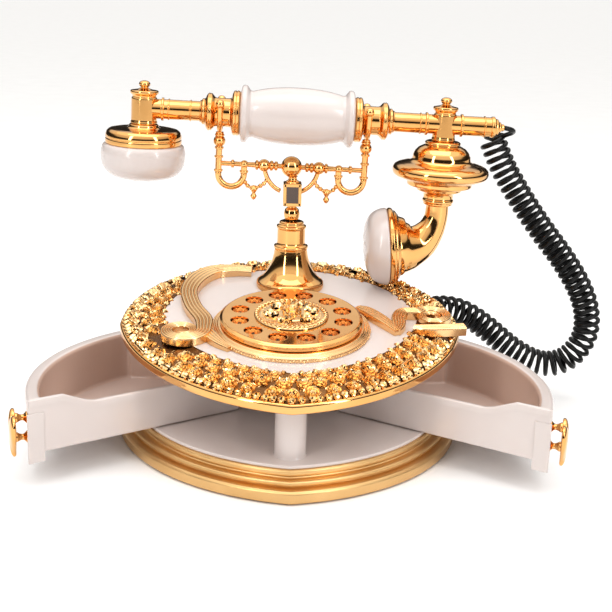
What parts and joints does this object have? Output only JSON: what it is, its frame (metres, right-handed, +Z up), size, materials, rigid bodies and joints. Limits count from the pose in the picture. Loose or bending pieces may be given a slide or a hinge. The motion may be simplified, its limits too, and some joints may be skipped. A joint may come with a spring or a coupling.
{
  "type": "cradle telephone",
  "caption": "French-style cradle phone: gold and white, twelve push buttons in a dial, handset on a bell column, two swing-out jewellery drawers",
  "frame": {"origin": "middle of the underside, on the surface the phone stands on", "axes": "+X to the user's right along the handset, +Y from the front corner to the back, +Z up"},
  "size_m": [0.3836, 0.217, 0.2207],
  "materials": {
    "white_plastic": "glossy warm white",
    "polished_gold": "polished gold plate",
    "amber_button": "translucent amber",
    "dark_gem": "dark brown mirror",
    "black_cord": "glossy black sleeve",
    "black_plastic": "matte black",
    "steel": "plain steel",
    "circuit_green": "green board",
    "pad_rubber": "grey rubber",
    "plated_gold": "mirror gold plating over a moulding",
    "satin_plated": "satin gold plating over a moulding"
  },
  "bodies": {
    "base": {"foot_plinth": "satin_plated", "bottom_cover": "black_plastic", "cover_screws": "steel", "foot_pads": "pad_rubber", "deck_plate": "white_plastic", "rear_housing": "white_plastic", "line_jack": "black_plastic", "upper_housing": "white_plastic", "hinge_pins": "steel", "circuit_board": "circuit_green", "ringer_speaker": "black_plastic", "rim_band": "plated_gold", "rose_band": "plated_gold", "top_deck": "white_plastic", "dial_base_ring": "plated_gold", "dial_plate": "plated_gold", "dial_medallion": "plated_gold", "keypad_board": "circuit_green", "scroll_left": "plated_gold", "scroll_right": "plated_gold", "bell_cover": "plated_gold", "stem_guide": "black_plastic", "hook_switch": "black_plastic", "hook_spring": "steel", "cord_boot": "black_plastic", "handset_cord": "black_cord"},
    "cradle": {"cradle_stem": "polished_gold", "gem_block": "polished_gold", "gem_inserts": "dark_gem", "cradle_yoke": "polished_gold", "cradle_forks": "polished_gold"},
    "handset": {"handset_grip": "white_plastic", "grip_collars": "polished_gold", "handset_tubes": "polished_gold", "handset_columns": "polished_gold", "ear_cap": "plated_gold", "ear_cup": "white_plastic", "receiver_capsule": "black_plastic", "mouth_flange": "plated_gold", "mouth_horn": "plated_gold", "mouth_cap": "white_plastic", "microphone_capsule": "black_plastic", "tube_end": "polished_gold"},
    "drawer_left": {"drawer_tray_left": "white_plastic", "pull_heart_left": "plated_gold"},
    "drawer_right": {"drawer_tray_right": "white_plastic", "pull_heart_right": "plated_gold"},
    "button_01": {"key_button_01": "amber_button"},
    "button_02": {"key_button_02": "amber_button"},
    "button_03": {"key_button_03": "amber_button"},
    "button_04": {"key_button_04": "amber_button"},
    "button_05": {"key_button_05": "amber_button"},
    "button_06": {"key_button_06": "amber_button"},
    "button_07": {"key_button_07": "amber_button"},
    "button_08": {"key_button_08": "amber_button"},
    "button_09": {"key_button_09": "amber_button"},
    "button_10": {"key_button_10": "amber_button"},
    "button_11": {"key_button_11": "amber_button"},
    "button_12": {"key_button_12": "amber_button"}
  },
  "joints": [
    {"name": "drawer_left_swing", "type": "hinge", "parent": "base", "child": "drawer_left", "pos_m": [-0.066, 0.034, 0.037], "axis": [0, 0, 1], "range_deg": [0, 56]},
    {"name": "drawer_right_swing", "type": "hinge", "parent": "base", "child": "drawer_right", "pos_m": [0.066, 0.034, 0.037], "axis": [0, 0, -1], "range_deg": [0, 56]},
    {"name": "cradle_travel", "type": "slide", "parent": "base", "child": "cradle", "axis": [0, 0, 1], "range_m": [0, 0.004], "stiffness_N_per_m": 200, "springref_m": 0.01, "deforming": ["hook_spring"]},
    {"name": "handset_lift", "type": "slide", "parent": "cradle", "child": "handset", "axis": [0, 0, 1], "range_m": [0, 0.025]},
    {"name": "button_01_press", "type": "slide", "parent": "base", "child": "button_01", "axis": [0, 0.1305, -0.9914], "range_m": [0, 0.0015], "stiffness_N_per_m": 150, "springref_m": -0.001},
    {"name": "button_02_press", "type": "slide", "parent": "base", "child": "button_02", "axis": [0, 0.1305, -0.9914], "range_m": [0, 0.0015], "stiffness_N_per_m": 150, "springref_m": -0.001},
    {"name": "button_03_press", "type": "slide", "parent": "base", "child": "button_03", "axis": [0, 0.1305, -0.9914], "range_m": [0, 0.0015], "stiffness_N_per_m": 150, "springref_m": -0.001},
    {"name": "button_04_press", "type": "slide", "parent": "base", "child": "button_04", "axis": [0, 0.1305, -0.9914], "range_m": [0, 0.0015], "stiffness_N_per_m": 150, "springref_m": -0.001},
    {"name": "button_05_press", "type": "slide", "parent": "base", "child": "button_05", "axis": [0, 0.1305, -0.9914], "range_m": [0, 0.0015], "stiffness_N_per_m": 150, "springref_m": -0.001},
    {"name": "button_06_press", "type": "slide", "parent": "base", "child": "button_06", "axis": [0, 0.1305, -0.9914], "range_m": [0, 0.0015], "stiffness_N_per_m": 150, "springref_m": -0.001},
    {"name": "button_07_press", "type": "slide", "parent": "base", "child": "button_07", "axis": [0, 0.1305, -0.9914], "range_m": [0, 0.0015], "stiffness_N_per_m": 150, "springref_m": -0.001},
    {"name": "button_08_press", "type": "slide", "parent": "base", "child": "button_08", "axis": [0, 0.1305, -0.9914], "range_m": [0, 0.0015], "stiffness_N_per_m": 150, "springref_m": -0.001},
    {"name": "button_09_press", "type": "slide", "parent": "base", "child": "button_09", "axis": [0, 0.1305, -0.9914], "range_m": [0, 0.0015], "stiffness_N_per_m": 150, "springref_m": -0.001},
    {"name": "button_10_press", "type": "slide", "parent": "base", "child": "button_10", "axis": [0, 0.1305, -0.9914], "range_m": [0, 0.0015], "stiffness_N_per_m": 150, "springref_m": -0.001},
    {"name": "button_11_press", "type": "slide", "parent": "base", "child": "button_11", "axis": [0, 0.1305, -0.9914], "range_m": [0, 0.0015], "stiffness_N_per_m": 150, "springref_m": -0.001},
    {"name": "button_12_press", "type": "slide", "parent": "base", "child": "button_12", "axis": [0, 0.1305, -0.9914], "range_m": [0, 0.0015], "stiffness_N_per_m": 150, "springref_m": -0.001}
  ]
}
